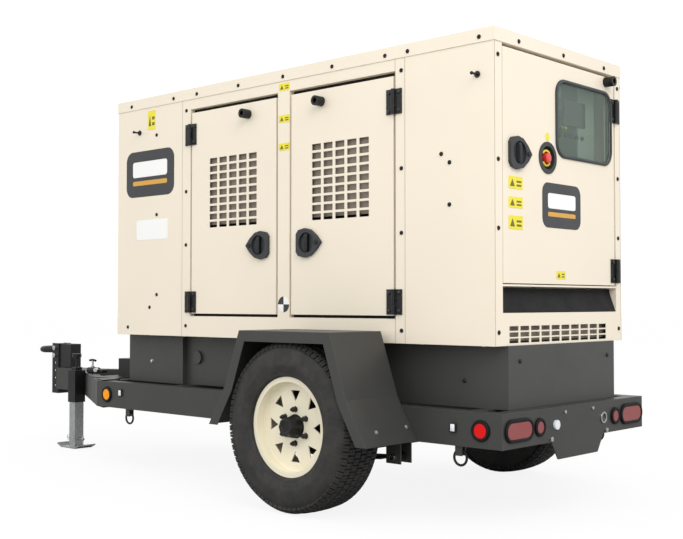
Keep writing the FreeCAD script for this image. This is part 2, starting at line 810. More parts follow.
def make_screws():
    """Black dome-head screws in the roof flange, the panels and the corner strips."""
    pieces = []
    roof_rows = (68, 427, 549, 854, 1163, 1468, 1775, 1958, 2310)
    columns = (1858, 463)
    heights = (1824, 1417, 1150, 747)
    singles = ((2099, 1727), (2096, 1315), (2093, 903), (2152, 838), (2337, 733),
               (256, 1457), (215, 1420), (216, 1252))
    spots = [(x, z) for x in columns for z in heights] + list(singles)
    for side in (-1, 1):
        axis = "+Y" if side > 0 else "-Y"
        for i, setback in enumerate(roof_rows):
            start = (f"{REAR} - {setback}", signed(side, f"{HALF} + skin"), f"{TOP} - roof_flange * 0.6")
            pieces.append(rod(f"roof_screw{side}_{i}", axis, start, "screw_radius", "screw_height"))
        for i, (setback, height) in enumerate(spots):
            start = (f"{REAR} - {setback}", signed(side, HALF), f"floor_height + {height - 694}")
            pieces.append(rod(f"panel_screw{side}_{i}", axis, start, "screw_radius", "screw_height"))
        for i, height in enumerate(heights):
            start = (REAR, signed(side, f"{HALF} - 25"), f"floor_height + {height - 694}")
            pieces.append(rod(f"rear_screw{side}_{i}", "+X", start, "screw_radius", "screw_height"))
    for i, y in enumerate((-326, 9, 346)):
        start = (f"{REAR} + skin", y, f"{TOP} - roof_flange * 0.6")
        pieces.append(rod(f"flange_screw{i}", "+X", start, "screw_radius", "screw_height"))
    node("enclosure_screws", group("screws", pieces))


def make_fixed_hardware():
    """Hinge leaves, pins and holdback studs fixed to the enclosure."""
    pieces = [piece for door in doors for piece in door.frame_leaves()]
    pieces += [door.stud() for door in side_doors.values()]
    reach = f"({HALF} + 4)"
    stud_y = "(control_hinge + control_holdback)"
    level = "(control_door_bottom + control_holdback_height)"
    height = (f"{level} - 15", f"{level} + 15")
    foot = box("bracket_foot", (f"{REAR} - 80", f"{REAR} - 56"), (HALF, reach), height)
    web = box("bracket_web", (f"{REAR} - 60", f"{REAR} - 56"), (HALF, f"{stud_y} + 15"), height)
    stem = rod("bracket_stem", "+X", (f"{REAR} - 58", stud_y, level), "stud_radius", "39")
    tip = ball("bracket_ball", (f"{REAR} - 19", stud_y, level), "ball_radius")
    pieces.append(fuse("control_stud", foot, web, stem, tip))
    node("hinge_leaves_and_studs", group("fixed_hardware", pieces))
    node("door_seals", group("seals", [door.seal() for door in doors]))


make_roof()
make_body_panels()
make_side_frames()
make_rear_wall()
make_flap()
make_floor()
make_screws()
make_fixed_hardware()


# ---------------------------------------------------------------- control cabinet and set

def make_cabinet():
    """The control cabinet behind the rear door, with its knob and main breaker."""
    rear = f"({REAR} - cabinet_front)"
    deck = "(floor_height + 5)"
    top = f"({deck} + cabinet_height)"
    case = box("cabinet", (f"{rear} - cabinet_depth", rear), ("-cabinet_width / 2", "cabinet_width / 2"),
               (deck, top))
    lens = rounded_box("display", ("120", "300"), ("-6", "0"), (f"{top} - 200", f"{top} - 90"), "10")
    place(lens, rear, turn=Rotation(Vector(0, 0, 1), 90))
    pieces = [case, lens]
    for i in range(4):
        start = (rear, f"{140 + 45 * i}", f"{top} - 245")
        pieces.append(rod(f"lamp{i}", "+X", start, "9", "8"))
    for i in range(2):
        start = (rear, f"{-60 - 110 * i}", f"{top} - 130")
        pieces.append(rod(f"gauge{i}", "+X", start, "42", "8"))
    knob_y, knob_z = "60", f"({top} - 245)"
    bush = rod("knob_bush", "+X", (rear, knob_y, knob_z), "8", "4")
    pieces.append(bush)
    yoke = [box(f"yoke{side}", (rear, f"{rear} + 12"), between(side, "toggle_width / 2 + 1", "toggle_width / 2 + 7"),
                (f"{top} - 420", f"{top} - 360")) for side in (-1, 1)]
    pin = rod("toggle_pin", "+Y", (f"{rear} + 8", "-(toggle_width / 2 + 7)", f"{top} - 390"), "3",
              "toggle_width + 14")
    pieces += [fuse("breaker_yoke", pin, *yoke)]
    node("control_cabinet", group("cabinet_set", pieces))
    disc = rod("knob_disc", "+X", (f"{rear} + 4.3", knob_y, knob_z), "knob_radius", "14")
    bar = box("knob_bar", (f"{rear} + 18", f"{rear} + 26"), (f"{knob_y} - 5", f"{knob_y} + 5"),
              (f"{knob_z} - knob_radius", f"{knob_z} + knob_radius"))
    node("selector_knob", fuse("knob", disc, bar))
    lever = box("lever", (f"{rear} + 2", f"{rear} + 36"), ("-toggle_width / 2", "toggle_width / 2"),
                (f"{top} - 396", f"{top} - 384"))
    boss = rod("lever_boss", "+Y", (f"{rear} + 8", "-toggle_width / 2", f"{top} - 390"), "7", "toggle_width")
    hole = rod("lever_hole", "+Y", (f"{rear} + 8", "-toggle_width / 2 - 1", f"{top} - 390"), "3.06",
               "toggle_width + 2")
    node("breaker_handle", cut("toggle", fuse("lever_solid", lever, boss), hole))


def make_set():
    """The engine with its silencer, the alternator, the radiator and its fan."""
    deck = "(floor_height + 5)"
    rear = f"({REAR} - engine_rear)"
    front = f"({rear} - engine_length)"
    half = "engine_width / 2"
    block = box("block", (front, rear), (f"-({half}) + 60", f"{half} - 60"), (f"{deck} + 60", "shaft_height + 260"))
    head = box("head", (f"{front} + 30", f"{rear} - 20"), ("-90", "90"), ("shaft_height + 260", "shaft_height + 350"))
    sump = box("sump", (f"{front} + 60", f"{rear} - 100"), ("-110", "110"), (f"{deck} + 20", f"{deck} + 60"))
    bell = rod("bell_housing", "+X", (rear, "0", "shaft_height"), "alternator_radius", "60")
    feet = [box(f"engine_foot{i}{side}", (x, f"{x} + 80"), between(side, f"{half} - 61", half), (deck, f"{deck} + 90"))
            for i, x in enumerate((f"({front} + 60)", f"({rear} - 150)")) for side in (-1, 1)]
    stub = rod("crank_nose", "+X", (f"{front} - 90", "0", "shaft_height"), "30", "91")
    pot_x = EXHAUST
    pot_z = f"({TOP} - 170)"
    pot = rod("silencer_pot", "+X", (f"{pot_x} - 60", "150", pot_z), "80", "620")
    tail = rod("tail_pipe", "+Z", (pot_x, "150", pot_z), "32", "150")
    down = rod("down_pipe", "+Z", (f"{front} + 180", "150", "shaft_height + 150"), "32", f"{pot_z} - shaft_height - 150")
    port = box("exhaust_port", (f"{front} + 150", f"{front} + 210"), ("80", "182"), ("shaft_height + 140", "shaft_height + 200"))
    cleaner = rod("air_cleaner", "+X", (f"{rear} - 330", "-190", "shaft_height + 330"), "95", "330")
    inlet = box("air_inlet", (f"{rear} - 200", f"{rear} - 140"), ("-150", "-60"), ("shaft_height + 250", "shaft_height + 330"))
    node("engine", fuse("engine_solid", block, head, sump, bell, stub, pot, tail, down, port, cleaner, inlet, *feet))
    start = f"({rear} + 60)"
    end = f"({start} + alternator_length)"
    barrel = rod("alternator_barrel", "+X", (start, "0", "shaft_height"), "alternator_radius", "alternator_length")
    terminal = box("terminal_box", (f"{start} + 60", f"{end} - 60"), ("-120", "120"),
                   ("shaft_height + alternator_radius - 30", "shaft_height + alternator_radius + 90"))
    legs = [box(f"alternator_foot{side}", (f"{start} + 80", f"{end} - 80"), between(side, "90", "190"),
                (deck, "shaft_height - 60")) for side in (-1, 1)]
    node("alternator", fuse("alternator_solid", barrel, terminal, *legs))
    back = f"({REAR} - radiator_setback + radiator_thickness)"
    core = box("radiator_core", (f"{REAR} - radiator_setback", back), ("-radiator_width / 2", "radiator_width / 2"),
               (deck, f"{deck} + radiator_height"))
    shroud = box("shroud", (back, f"{back} + 60"), ("-radiator_width / 2 + 20", "radiator_width / 2 - 20"),
                 (f"{deck} + 20", f"{deck} + radiator_height - 20"))
    mouth = rod("shroud_mouth", "+X", (f"{back} + 10", "0", "shaft_height + 90"), "fan_radius + 15", "60")
    spindle = rod("fan_spindle", "+X", (f"{back} + 5", "0", "shaft_height + 90"), "12", "70")
    bearing = rod("fan_bearing", "+X", (f"{back}", "0", "shaft_height + 90"), "30", "18")
    node("radiator", fuse("radiator_solid", cut("shroud_open", fuse("radiator_body", core, shroud), mouth),
                          spindle, bearing))
    hub = rod("fan_hub", "+X", (f"{back} + 19", "0", "shaft_height + 90"), "60", "40")
    blades = []
    for i in range(SIZES["fan_blades"]):
        blade = box(f"fan_blade{i}", ("-15", "15"), ("-45", "45"), ("50", "fan_radius"))
        spread = group(f"fan_blade_turned{i}", [blade])
        angle = 360 * i / SIZES["fan_blades"]
        blades.append(place(spread, f"{back} + 39", "0", "shaft_height + 90", turn=Rotation(Vector(1, 0, 0), angle)))
    bore = rod("fan_bore", "+X", (f"{back} + 15", "0", "shaft_height + 90"), "12.06", "50")
    node("fan", cut("fan_solid", fuse("fan_blank", hub, *blades), bore))


make_cabinet()
make_set()


# ---------------------------------------------------------------- base and chassis

def make_base():
    """The fuel tank base: a deep box, narrower between its front and rear ends."""
    levels = (RAIL_TOP, "floor_height")
    full = ("-tank_half_width", "tank_half_width")
    slim = ("tank_recess - tank_half_width", "tank_half_width - tank_recess")
    front = box("base_front", (FRONT, f"{FRONT} + 450"), full, levels)
    middle = box("base_middle", (f"{FRONT} + 449", f"{AXLE} - 400"), slim, levels)
    rear = box("base_rear", (f"{AXLE} - 401", f"{REAR} + tank_proud"), full, levels)
    neck = rod("filler_neck", "-Y", (f"{FRONT} + 540", "tank_recess - tank_half_width + 1", "floor_height - 110"),
               "32", "14")
    node("base_tank", fuse("base", front, middle, rear, neck))


def make_rail(side):
    """One side rail: a channel open inwards, with its spring hangers and tie-down lugs."""
    x = (RAIL_FRONT, f"{REAR} + bumper_front")
    web = between(side, "rail_half_width - rail_width", "rail_half_width")
    hollow = between(side, "rail_half_width - rail_width - 1", "rail_half_width - rail_wall")
    profile = box(f"rail_outer{side}", x, web, ("rail_bottom", RAIL_TOP))
    inside = box(f"rail_inner{side}", (f"({x[0]}) - 1", f"({x[1]}) + 1"), hollow,
                 ("rail_bottom + rail_wall", f"{RAIL_TOP} - rail_wall"))
    pieces = [cut(f"rail_channel{side}", profile, inside)]
    bores = []
    for i, along in enumerate(("-spring_half", "spring_half")):
        middle = f"({AXLE} + ({along}))"
        for j, near in enumerate((HANGER_INNER, "spring_track + leaf_width / 2 + hanger_gap")):
            pieces.append(box(f"hanger{side}_{i}{j}", (f"{middle} - hanger_half", f"{middle} + hanger_half"),
                              between(side, near, f"{near} + hanger_wall"), (f"{SPRING_EYE} - 26", "rail_bottom")))
        low = between(side, HANGER_INNER, HANGER_OUTER)[0]
        bores.append(rod(f"hanger_bore{side}_{i}", "+Y", (middle, f"{low} - 1", SPRING_EYE),
                         "spring_bolt + bolt_gap", f"{HANGER_OUTER} - ({HANGER_INNER}) + 2"))
    for i, setback in enumerate(("ring_front", "ring_rear")):
        middle = f"({REAR} - {setback})"
        for j, near in enumerate((f"{RING_TRACK} - ring_section - 9", f"{RING_TRACK} + ring_section + 3")):
            pieces.append(box(f"lug{side}_{i}{j}", (f"{middle} - 16", f"{middle} + 16"),
                              between(side, near, f"{near} + 6"), (f"rail_bottom - ring_drop - 12", "rail_bottom")))
        pieces.append(rod(f"ring_bolt{side}_{i}", "+Y",
                          (middle, between(side, f"{RING_TRACK} - ring_section - 9", f"{RING_TRACK} + 14")[0],
                           "rail_bottom - ring_drop"), "ring_rod", "ring_section + 18"))
    return cut(f"rail{side}", fuse(f"rail_blank{side}", *pieces), *bores)


HANGER_INNER = "(spring_track - leaf_width / 2 - hanger_gap - hanger_wall)"
HANGER_OUTER = "(spring_track + leaf_width / 2 + hanger_gap + hanger_wall)"
SPRING_EYE = "(tyre_radius - axle_drop - axle_box / 2 - leaf / 2 + spring_rise)"
RING_TRACK = "(rail_half_width - 24)"


def make_chassis():
    """Two rails and the crossmembers between them."""
    pieces = [make_rail(side) for side in (-1, 1)]
    inner = "(rail_half_width - rail_width)"
    web = "(rail_half_width - rail_wall)"
    for i, setback in enumerate(("(body_length + rail_ahead - 60)", "1900", "1340", "600", "60")):
        x = (f"{REAR} - ({setback}) - 60", f"{REAR} - ({setback})")
        upper = box(f"cross_top{i}", x, (f"-{inner}", inner), ("rail_bottom + 36", RAIL_TOP))
        lower = box(f"cross_web{i}", x, (f"-{web}", web), ("rail_bottom + 36", f"{RAIL_TOP} - rail_wall"))
        pieces.append(fuse(f"crossmember{i}", upper, lower))
    node("chassis_rails", group("chassis", pieces))


def make_drawbar():
    """The A-frame that runs from the rails to the coupler."""
    base = RAIL_FRONT
    apex = f"({base} - leg_run)"
    nose = NOSE
    inner = "(rail_half_width - leg_width)"
    crotch = f"({base} - leg_run * {inner} / (rail_half_width - nose_half_width))"
    corners = [(base, "-rail_half_width"), (apex, "-nose_half_width"), (nose, "-nose_half_width"),
               (nose, "nose_half_width"), (apex, "nose_half_width"), (base, "rail_half_width"),
               (base, inner), (crotch, "0"), (base, f"-{inner}")]
    corners.reverse()
    node("drawbar", plate("a_frame", "XY_Plane", corners, "rail_bottom", RAIL_TOP))


def make_bumper():
    """The rear bumper: a folded box section with a drop plate in the middle."""
    x = (f"{REAR} + bumper_front", f"{REAR} + bumper_front + bumper_depth")
    wide = ("-rail_half_width", "rail_half_width")
    outer = box("bumper_outer", x, wide, ("rail_bottom", RAIL_TOP))
    inside = box("bumper_inner", (f"{x[0]} - 1", f"{x[1]} - rail_wall"),
                 ("rail_wall - rail_half_width", "rail_half_width - rail_wall"),
                 ("rail_bottom + rail_wall", f"{RAIL_TOP} - rail_wall"))
    corners = [("-plate_shoulder", "rail_bottom + 1"), ("-plate_half_width", "plate_bottom"),
               ("plate_half_width", "plate_bottom"), ("plate_shoulder", "rail_bottom + 1")]
    drop = plate("drop_plate", "YZ_Plane", corners, f"{x[1]} - rail_wall", x[1])
    node("rear_bumper", fuse("bumper", cut("bumper_channel", outer, inside), drop))


# Fender outline from front foot to rear foot: distance from the axle, height and the
# inward step at that corner for each millimetre of sheet.
FENDER = [("-459", "335", 1.17, 0.0), ("-355", "506", 0.904, -0.438), ("-266", "fender_top", 0.695, -1.0),
          ("260", "fender_top", -0.715, -1.0), ("349", "484", -0.913, -0.421), ("452", "310", -1.161, 0.0)]


def facet_crossing(foot, knee, level):
    """How far from the axle a fender facet crosses a level, from its foot and knee corners."""
    foot_x, foot_z = FENDER[foot][:2]
    knee_x, knee_z = FENDER[knee][:2]
    return f"({foot_x}) + ({level} - {foot_z}) * ({knee_x} - ({foot_x})) / ({knee_z} - {foot_z})"


def fender_strip(name, depth, near, far, side):
    """A strip that follows the fender's facets, as deep as its formula says."""
    outer = [(f"{AXLE} + ({x})", z) for x, z, _, _ in FENDER]
    inner = [(f"{AXLE} + ({x}) + {step_x} * {depth}", f"{z} + ({step_z}) * {depth}")
             for x, z, step_x, step_z in reversed(FENDER)]
    return plate(name, "XZ_Plane", outer + inner, *between(side, near, far))


def make_fenders():
    """Two folded fenders, each with an outer lip and a skirt that stands on its rail."""
    pieces = []
    for side in (-1, 1):
        top = fender_strip(f"fender_sheet{side}", "fender_sheet", "rail_half_width", "fender_outer", side)
        lip = fender_strip(f"fender_lip{side}", "fender_lip", "fender_outer - fender_sheet", "fender_outer", side)
        skirt = [(f"{AXLE} + ({facet_crossing(0, 1, RAIL_TOP)})", RAIL_TOP)]
        skirt += [(f"{AXLE} + ({x})", z) for x, z, _, _ in FENDER[1:-1]]
        skirt += [(f"{AXLE} + ({facet_crossing(-1, -2, RAIL_TOP)})", RAIL_TOP)]
        wall = plate(f"fender_skirt{side}", "XZ_Plane", skirt,
                     *between(side, "rail_half_width - fender_sheet", "rail_half_width + 1"))
        pieces.append(fuse(f"fender{side}", top, lip, wall))
    node("fenders", group("fender_pair", pieces))


# ---------------------------------------------------------------- coupler and jack

def coupler_hole_level(index):
    """The height of one of the coupler channel's holes, counted from the top."""
    return f"(channel_top - 30 - {index} * channel_pitch)"


def make_coupler():
    """The adjustable channel at the drawbar's nose and the lunette eye bolted in it."""
    web_front = f"({NOSE} - channel_wall)"
    outer = "(channel_inner + channel_wall)"
    levels = ("channel_bottom", "channel_top")
    web = box("channel_web", (web_front, NOSE), (f"-{outer}", outer), levels)
    flanges = [box(f"channel_flange{side}", (COUPLER, NOSE), between(side, "channel_inner", outer),
                   levels) for side in (-1, 1)]
    post = box("channel_post", (f"{NOSE} - 1", f"({FRONT} - post_ahead)"),
               ("-channel_inner", "channel_inner"), (RAIL_TOP, "channel_top - 3"))
    tools = [rod(f"channel_hole{i}", "+Y", (f"{COUPLER} + 30", f"-{outer} - 1", coupler_hole_level(i)),
                 "channel_hole", f"2 * {outer} + 2") for i in range(SIZES["channel_holes"])]
    node("coupler_channel", cut("channel", fuse("channel_solid", web, post, *flanges), *tools))
    half = "eye_section / 2"
    outside = "(eye_radius + eye_section)"
    middle = "(eye_radius + eye_section / 2)"
    upper = [("eye_radius", "7"), ("eye_radius + 8", "16"), (middle, half), (f"{outside} - 8", "16"), (outside, "7")]
    profile = [(u, f"-({v})") for u, v in upper] + list(reversed(upper))
    centre = f"({FRONT} - eye_ahead + eye_radius + eye_section)"
    ring = turned("eye_ring", "XZ_Plane", "V_Axis", profile, (centre, "0", "eye_height"))
    shank = box("eye_shank", (f"{centre} + {middle}", web_front), ("0.5 - channel_inner", "channel_inner - 0.5"),
                (f"{coupler_hole_level(1)} - 24", f"{coupler_hole_level(0)} + 24"))
    eye = fuse("eye_blank", ring, shank)
    bore = rod("eye_bore", "+Z", (centre, "0", "eye_height - 60"), "eye_radius", "120")
    bolts = [rod(f"eye_bolt_hole{i}", "+Y", (f"{COUPLER} + 30", "-channel_inner", coupler_hole_level(i)),
                 "channel_hole", "2 * channel_inner") for i in range(2)]
    node("lunette_eye", cut("eye", eye, bore, *bolts))


def make_jack():
    """The drop-leg jack beside the drawbar: tube, leg with foot, pin and release knob."""
    half = "(jack_tube / 2)"
    x_span = (f"{JACK} - {half}", f"{JACK} + {half}")
    slope = "((rail_half_width - nose_half_width) / leg_run)"
    reach = "(jack_ahead - rail_ahead)"
    leg_front = f"(-(rail_half_width - {slope} * ({reach} + {half})))"
    leg_rear = f"(-(rail_half_width - {slope} * ({reach} - {half})))"
    y = f"({leg_rear} - {half} - jack_gap)"
    y_span = (f"{y} - {half}", f"{y} + {half}")
    tube = box("jack_outer", x_span, y_span, ("jack_bottom", "jack_top"))
    bore = box("jack_bore", (f"{x_span[0]} + jack_wall", f"{x_span[1]} - jack_wall"),
               (f"{y_span[0]} + jack_wall", f"{y_span[1]} - jack_wall"), ("jack_bottom - 1", "jack_top - jack_wall"))
    bracket = plate("jack_bracket", "XY_Plane",
                    [(x_span[0], y_span[1]), (x_span[1], y_span[1]), (x_span[1], leg_rear), (x_span[0], leg_front)],
                    "rail_bottom + 20", f"{RAIL_TOP} - 5")
    hole = rod("jack_cap_hole", "+Z", (JACK, y, "jack_top - jack_wall - 1"), "6.06", "jack_wall + 30")
    cap = box("jack_cap", (f"{JACK} - 22", f"{JACK} + 22"), (f"{y} - 22", f"{y} + 22"), ("jack_top", "jack_top + 18"))
    node("jack_tube", cut("jack_body", fuse("jack_solid", tube, bracket, cap), bore, hole))
    inner = f"({half} - jack_wall - leg_gap)"
    leg = box("leg_outer", (f"{JACK} - {inner}", f"{JACK} + {inner}"), (f"{y} - {inner}", f"{y} + {inner}"),
              ("foot_plate", "jack_bottom + leg_engagement"))
    hollow = box("leg_hollow", (f"{JACK} - {inner} + leg_wall", f"{JACK} + {inner} - leg_wall"),
                 (f"{y} - {inner} + leg_wall", f"{y} + {inner} - leg_wall"), ("foot_plate + 1", "jack_top"))
    flat = box("foot_flat", (f"{JACK} - foot_length / 2 + 40", f"{JACK} + foot_length / 2 - 40"),
               (f"{y} - foot_width / 2", f"{y} + foot_width / 2"), ("0", "foot_plate"))
    ends = []
    for side in (-1, 1):
        near, far = "(foot_length / 2 - 41)", "(foot_length / 2)"
        wing = [(f"{JACK} + {signed(side, near)}", "0"), (f"{JACK} + {signed(side, far)}", "16"),
                (f"{JACK} + {signed(side, far)}", "16 + foot_plate"), (f"{JACK} + {signed(side, near)}", "foot_plate")]
        ends.append(plate(f"foot_end{side}", "XZ_Plane", wing, f"{y} - foot_width / 2", f"{y} + foot_width / 2"))
    across = rod("leg_pin_hole", "+X", (f"{JACK} - 100", y, "pin_height"), "jack_pin + 0.06", "200")
    node("jack_leg", cut("leg_solid", fuse("leg_blank", leg, flat, *ends), hollow, across))
    start = f"({JACK} - jack_pin_length / 2)"
    pin = rod("pin_rod", "+X", (start, y, "pin_height"), "jack_pin", "jack_pin_length")
    pull = rod("pin_pull", "+Z", (f"{JACK} + jack_pin_length / 2 - 8", y, "pin_height - 24"), "5", "48")
    node("jack_pin", fuse("pin_solid", pin, pull))
    stem = rod("knob_stem", "+Z", (JACK, y, "jack_top - 20"), "6", "100")
    head = rod("knob_head", "+Z", (JACK, y, "jack_top + 78"), "27", "20")
    grip = rod("knob_neck", "+Z", (JACK, y, "jack_top + 66"), "13", "14")
    node("jack_knob", fuse("release_knob", stem, head, grip))


def make_tongue_box():
    """The tray across the drawbar with the battery and breakaway box."""
    base = RAIL_FRONT
    tray = box("tongue_tray", (f"{base} - 230", f"{base} - 20"), ("-430", "430"), (RAIL_TOP, f"{RAIL_TOP} + 4"))
    case = box("battery_case", (f"{base} - 210", f"{base} - 50"), ("-260", "-20"),
               (f"{RAIL_TOP} + 4", f"{RAIL_TOP} + 100"))
    drum = box("breakaway_case", (f"{base} - 190", f"{base} - 60"), ("20", "230"),
               (f"{RAIL_TOP} + 4", f"{RAIL_TOP} + 84"))
    node("tongue_box", group("tongue_set", [fuse("tray_and_battery", tray, case), drum]))


# ---------------------------------------------------------------- axle and wheels

def make_axle():
    """The drop axle with its spindles, and the two leaf springs under it."""
    low = "(tyre_radius - axle_drop - axle_box / 2)"
    half = "(axle_box / 2)"
    ends = "(spring_track + 70)"
    x = (f"{AXLE} - {half}", f"{AXLE} + {half}")
    beam = box("axle_beam", x, (f"-{ends}", ends), (low, f"{low} + axle_box"))
    pieces = [beam]
    for side in (-1, 1):
        pieces.append(box(f"axle_riser{side}", x, between(side, f"{ends} - 24", ends),
                          (low, "tyre_radius + axle_box / 2")))
        start = (AXLE, signed(side, f"{ends} - 10"), "tyre_radius")
        pieces.append(rod(f"spindle{side}", "+Y" if side > 0 else "-Y", start, "spindle_radius",
                          f"track_half + disc_offset + 20 - {ends}"))
    solids = [fuse("axle", *pieces)]
    for side in (-1, 1):
        y = between(side, "spring_track - leaf_width / 2", "spring_track + leaf_width / 2")
        for i in range(SIZES["leaves"]):
            reach = f"(spring_half * (1 - {i} * 0.22))"
            top = f"({low} - {i} * leaf)"
            rise = f"(spring_rise * {reach} / spring_half)"
            corners = [(f"{AXLE} - {reach}", f"{top} + {rise}"), (f"{AXLE} - {reach}", f"{top} - leaf + {rise}"),
                       (AXLE, f"{top} - leaf"), (f"{AXLE} + {reach}", f"{top} - leaf + {rise}"),
                       (f"{AXLE} + {reach}", f"{top} + {rise}"), (AXLE, top)]
            blade = plate(f"leaf{side}_{i}", "XZ_Plane", corners, *y)
            solids.append(blade if i else spring_eyes(blade, side, y))
    node("axle_and_springs", group("running_gear", solids))


def spring_eyes(blade, side, y):
    """The main leaf with an eye rolled at each end."""
    pieces, bores = [blade], []
    for i, along in enumerate(("-spring_half", "spring_half")):
        start = (f"{AXLE} + ({along})", y[0], SPRING_EYE)
        pieces.append(rod(f"spring_eye{side}_{i}", "+Y", start, "15", "leaf_width"))
        bores.append(rod(f"eye_hole{side}_{i}", "+Y", (start[0], f"{y[0]} - 1", start[2]), "spring_bolt + bolt_gap",
                         "leaf_width + 2"))
    return cut(f"main_leaf{side}", fuse(f"main_leaf_solid{side}", *pieces), *bores)


# Tyre section as shares of the half width and of the height above the bead
TYRE_OUTER = [(0.60, 0.12), (0.924, 0.30), (1.0, 0.517), (0.96, 0.76), (0.85, 0.93), (0.74, 1.0)]
TYRE_INNER = [(0.515, 0.0), (0.533, 0.17), (0.80, 0.35), (0.871, 0.517), (0.836, 0.743), (0.70, 0.88)]


def make_wheel(side):
    """One wheel in its own frame, the axle along Y and the outer face to -Y."""
    label = "left" if side < 0 else "right"
    origin = (AXLE, signed(side, "track_half"), "tyre_radius")
    turn = Rotation(Vector(0, 0, 1), 180 if side > 0 else 0)
    height = "(tyre_radius - bead_radius)"
    bead = "(rim_half_width - rim_wall - 0.2)"

    def section(points):
        return [(f"{w} * tyre_width / 2", f"bead_radius + {r} * {height}") for w, r in points]

    outer = [(bead, "bead_radius + 0.1"), (bead, "flange_radius + 2")] + section(TYRE_OUTER[1:])
    inner = [(u, f"{v} + 0.1") for u, v in section(TYRE_INNER)]
    right_half = list(reversed(outer)) + inner
    left_half = [(f"-({u})", v) for u, v in reversed(right_half)]
    tyre = turned(f"{label}_tyre_ring", "YZ_Plane", "H_Axis", right_half + left_half)
    node(f"{label}_tyre", place(group(f"{label}_tyre_set", [tyre]), *origin, turn=turn))

    wall = "rim_wall"
    seat = "bead_radius"
    half = [("rim_half_width", f"{seat} - {wall}"), ("rim_half_width", "flange_radius"),
            (f"rim_half_width - {wall}", "flange_radius"), (f"rim_half_width - {wall}", seat),
            ("42", seat), ("30", f"{seat} - 18")]
    inside = [("30", f"{seat} - 18 - {wall}"), ("42", f"{seat} - {wall}")]
    upper = half + [(f"-({u})", v) for u, v in reversed(half)]
    lower = [(f"-({u})", v) for u, v in reversed(inside)] + inside
    barrel = turned(f"{label}_barrel", "YZ_Plane", "H_Axis", upper + lower)
    disc_corners = [("-disc_offset", "hub_radius + 0.3"), (f"{wall} - disc_offset", "hub_radius + 0.3"),
                    (f"{wall} - disc_offset", f"{seat} - {wall} / 2 - 3"), ("-disc_offset", f"{seat} - {wall} / 2 - 3")]
    disc = turned(f"{label}_disc", "YZ_Plane", "H_Axis", disc_corners)
    middle = "hand_hole_radius"
    triangle = [("-26", f"{middle} + 20"), ("0", f"{middle} - 25"), ("26", f"{middle} + 20")]
    hole = pocket(disc, f"{label}_hand_hole", "XZ_Plane", triangle, f"disc_offset - {wall} - 1", f"{wall} + 2")
    ring = disc.newObject("PartDesign::PolarPattern", f"{label}_hand_holes")
    ring.Originals = [hole]
    ring.Axis = (hole.Profile[0], ["N_Axis"])
    ring.Angle = 360
    bind(ring, Occurrences="hand_holes")
    disc.Tip = ring
    spots = []
    for i in range(SIZES["lugs"]):
        angle = 360 * i / SIZES["lugs"]
        spots.append((f"lug_circle * sin({angle})", f"lug_circle * cos({angle})"))
    stud_holes = [rod(f"{label}_stud_hole{i}", "+Y", (x, "-disc_offset - 1", z), "lug_radius - 1.9", f"{wall} + 2")
                  for i, (x, z) in enumerate(spots)]
    rim = cut(f"{label}_rim_set", fuse(f"{label}_rim_solid", barrel, disc), *stud_holes)
    node(f"{label}_rim", place(rim, *origin, turn=turn))

    face = f"({wall} - disc_offset)"
    shell = rod(f"{label}_hub_shell", "+Y", ("0", face, "0"), "58", "90")
    flange = rod(f"{label}_hub_flange", "+Y", ("0", face, "0"), "lug_circle + 18", "12")
    cap = rod(f"{label}_hub_cap", "+Y", ("0", "-disc_offset - hub_proud", "0"), "hub_radius", f"hub_proud + {wall} + 1")
    bore = rod(f"{label}_hub_bore", "+Y", ("0", "-disc_offset - 24", "0"), "spindle_radius + 0.06", "200")
    pieces = [cut(f"{label}_hub_solid", fuse(f"{label}_hub_blank", shell, flange, cap), bore)]
    for i, (x, z) in enumerate(spots):
        stud = rod(f"{label}_stud{i}", "+Y", (x, "-disc_offset - 24", z), "lug_radius - 2", f"24 + {wall}")
        nut = rod(f"{label}_nut{i}", "+Y", (x, "-disc_offset - 17", z), "lug_radius + 2", "17")
        pieces.append(fuse(f"{label}_lug{i}", stud, nut))
    node(f"{label}_hub", place(group(f"{label}_hub_set", pieces), *origin, turn=turn))


# ---------------------------------------------------------------- lamps, fasteners, rings

def lamp(name, origin, turn, across, up):
    """A lens in its rubber grommet; both are stadium or disc shaped, outward -Y."""
    angle = Rotation(Vector(0, 0, 1), turn)
    radius = f"({up} / 2)"
    x = (f"-({across}) / 2", f"({across}) / 2")
    z = (f"-{radius}", radius)
    grown_x = (f"{x[0]} - grommet", f"{x[1]} + grommet")
    grown_z = (f"{z[0]} - grommet", f"{z[1]} + grommet")

    def disc(label, span_x, span_z, depth, corner):
        if across == up:
            return rod(label, "-Y", ("0", "0", "0"), corner, depth)
        ends = [rod(f"{label}_end{i}", "-Y", (f"({edge}) {inward} {corner}", "0", "0"), corner, depth)
                for i, (edge, inward) in enumerate(zip(span_x, "+-"))]
        middle = box(f"{label}_middle", (f"{span_x[0]} + {corner}", f"{span_x[1]} - {corner}"), (f"-{depth}", "0"), span_z)
        return fuse(label, middle, *ends)

    lens = disc(f"{name}_lens", x, z, "lamp_proud", radius)
    outer = disc(f"{name}_rubber", grown_x, grown_z, "grommet_proud", f"({radius} + grommet)")
    void = disc(f"{name}_void", x, z, "(grommet_proud + 1)", radius)
    ring = place(cut(f"{name}_grommet", outer, void), *origin, turn=angle)
    return place(group(f"{name}_lens_set", [lens]), *origin, turn=angle), ring


